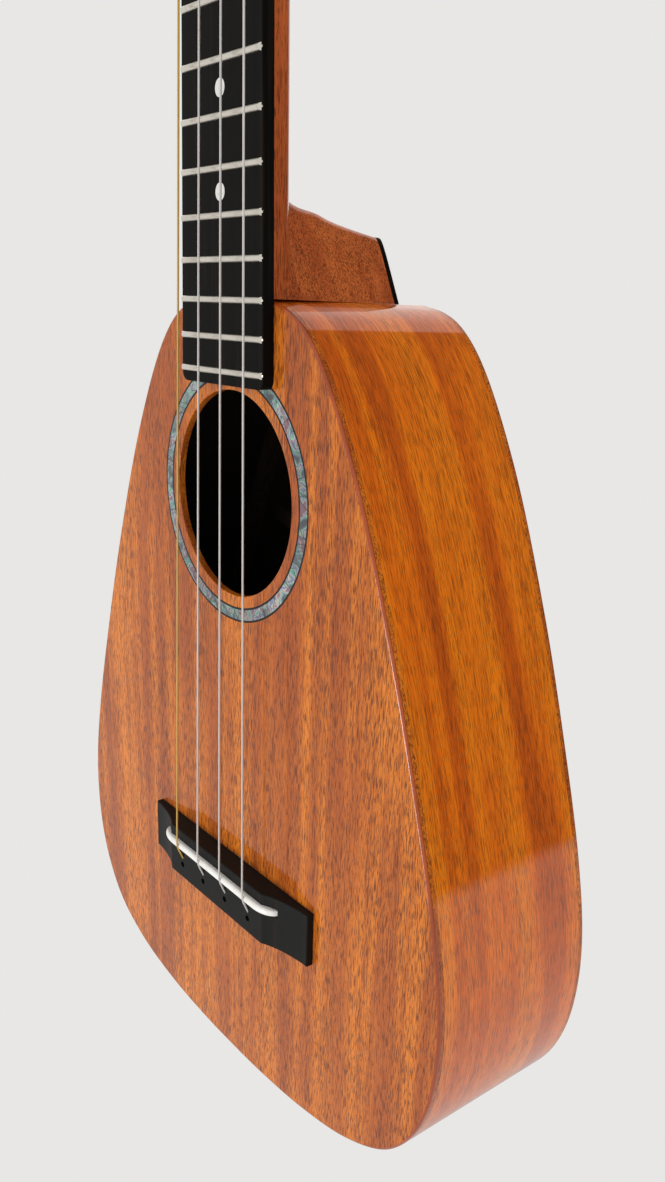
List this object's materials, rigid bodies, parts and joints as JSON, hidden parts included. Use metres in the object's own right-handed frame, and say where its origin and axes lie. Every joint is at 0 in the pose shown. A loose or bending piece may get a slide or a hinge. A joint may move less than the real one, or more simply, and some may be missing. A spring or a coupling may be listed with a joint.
{
  "type": "tenor ukulele",
  "caption": "Small flat-backed plucked lute with a teardrop body, round sound hole, fretted neck and geared tuners, lying on its back.",
  "frame": {"origin": "on the flat back, on the centreline, straight below the end of the string scale at the saddle", "axes": "+Z out of the soundboard, +Y from the body along the neck to the headstock, +X to the treble side"},
  "size_m": [0.2212, 0.637, 0.0756],
  "materials": {
    "top_mahogany": "gloss",
    "side_mahogany": "gloss",
    "neck_mahogany": "gloss",
    "spruce": "matte",
    "ebony": "satin",
    "bone": "satin",
    "abalone": "gloss",
    "fret_wire": "polished",
    "nickel_plate": "polished",
    "gear_brass": "satin",
    "button_pearl": "gloss",
    "clear_string": "gloss",
    "gold_string": "gloss"
  },
  "bodies": {
    "instrument": {"soundboard": "top_mahogany", "back_plate": "top_mahogany", "side_left": "side_mahogany", "side_right": "side_mahogany", "neck": "neck_mahogany", "neck_block": "spruce", "tail_block": "spruce", "lining_top": "spruce", "lining_back": "spruce", "bridge_plate": "spruce", "upper_brace": "spruce", "lower_brace": "spruce", "fan_brace_left": "spruce", "fan_brace_centre": "spruce", "fan_brace_right": "spruce", "back_brace_upper": "spruce", "back_brace_lower": "spruce", "bridge": "ebony", "heel_cap": "ebony", "headplate": "ebony", "fretboard": "ebony", "saddle": "bone", "nut": "bone", "rosette": "abalone", "fret_01": "fret_wire", "fret_02": "fret_wire", "fret_03": "fret_wire", "fret_04": "fret_wire", "fret_05": "fret_wire", "fret_06": "fret_wire", "fret_07": "fret_wire", "fret_08": "fret_wire", "fret_09": "fret_wire", "fret_10": "fret_wire", "fret_11": "fret_wire", "fret_12": "fret_wire", "fret_13": "fret_wire", "fret_14": "fret_wire", "fret_15": "fret_wire", "fret_16": "fret_wire", "tuner_plate_1": "nickel_plate", "tuner_plate_2": "nickel_plate", "tuner_plate_3": "nickel_plate", "tuner_plate_4": "nickel_plate", "string_1": "gold_string", "string_2": "clear_string", "string_3": "clear_string", "string_4": "clear_string"},
    "button_shaft_1": {"worm_shaft_1": "nickel_plate", "button_1": "button_pearl"},
    "button_shaft_2": {"worm_shaft_2": "nickel_plate", "button_2": "button_pearl"},
    "button_shaft_3": {"worm_shaft_3": "nickel_plate", "button_3": "button_pearl"},
    "button_shaft_4": {"worm_shaft_4": "nickel_plate", "button_4": "button_pearl"},
    "post_1": {"post_gear_1": "gear_brass"},
    "post_2": {"post_gear_2": "gear_brass"},
    "post_3": {"post_gear_3": "gear_brass"},
    "post_4": {"post_gear_4": "gear_brass"}
  },
  "joints": [
    {"name": "peg_turn_1", "type": "hinge", "parent": "instrument", "child": "button_shaft_1", "pos_m": [-0.017, 0.46221, 0.04461], "axis": [-1, 0, 0], "continuous": true},
    {"name": "peg_turn_2", "type": "hinge", "parent": "instrument", "child": "button_shaft_2", "pos_m": [-0.017, 0.50427, 0.03567], "axis": [-1, 0, 0], "continuous": true},
    {"name": "peg_turn_3", "type": "hinge", "parent": "instrument", "child": "button_shaft_3", "pos_m": [0.017, 0.50427, 0.03567], "axis": [1, 0, 0], "continuous": true},
    {"name": "peg_turn_4", "type": "hinge", "parent": "instrument", "child": "button_shaft_4", "pos_m": [0.017, 0.46221, 0.04461], "axis": [1, 0, 0], "continuous": true},
    {"name": "post_turn_1", "type": "hinge", "parent": "instrument", "child": "post_1", "pos_m": [-0.017, 0.46916, 0.04314], "axis": [0, 0.2079, 0.9781], "continuous": true},
    {"name": "post_turn_2", "type": "hinge", "parent": "instrument", "child": "post_2", "pos_m": [-0.017, 0.51122, 0.0342], "axis": [0, 0.2079, 0.9781], "continuous": true},
    {"name": "post_turn_3", "type": "hinge", "parent": "instrument", "child": "post_3", "pos_m": [0.017, 0.51122, 0.0342], "axis": [0, 0.2079, 0.9781], "continuous": true},
    {"name": "post_turn_4", "type": "hinge", "parent": "instrument", "child": "post_4", "pos_m": [0.017, 0.46916, 0.04314], "axis": [0, 0.2079, 0.9781], "continuous": true}
  ],
  "couplings": [
    {"joint": "post_turn_1", "follows": "peg_turn_1", "ratio": -0.071429},
    {"joint": "post_turn_2", "follows": "peg_turn_2", "ratio": -0.071429},
    {"joint": "post_turn_3", "follows": "peg_turn_3", "ratio": -0.071429},
    {"joint": "post_turn_4", "follows": "peg_turn_4", "ratio": -0.071429}
  ]
}
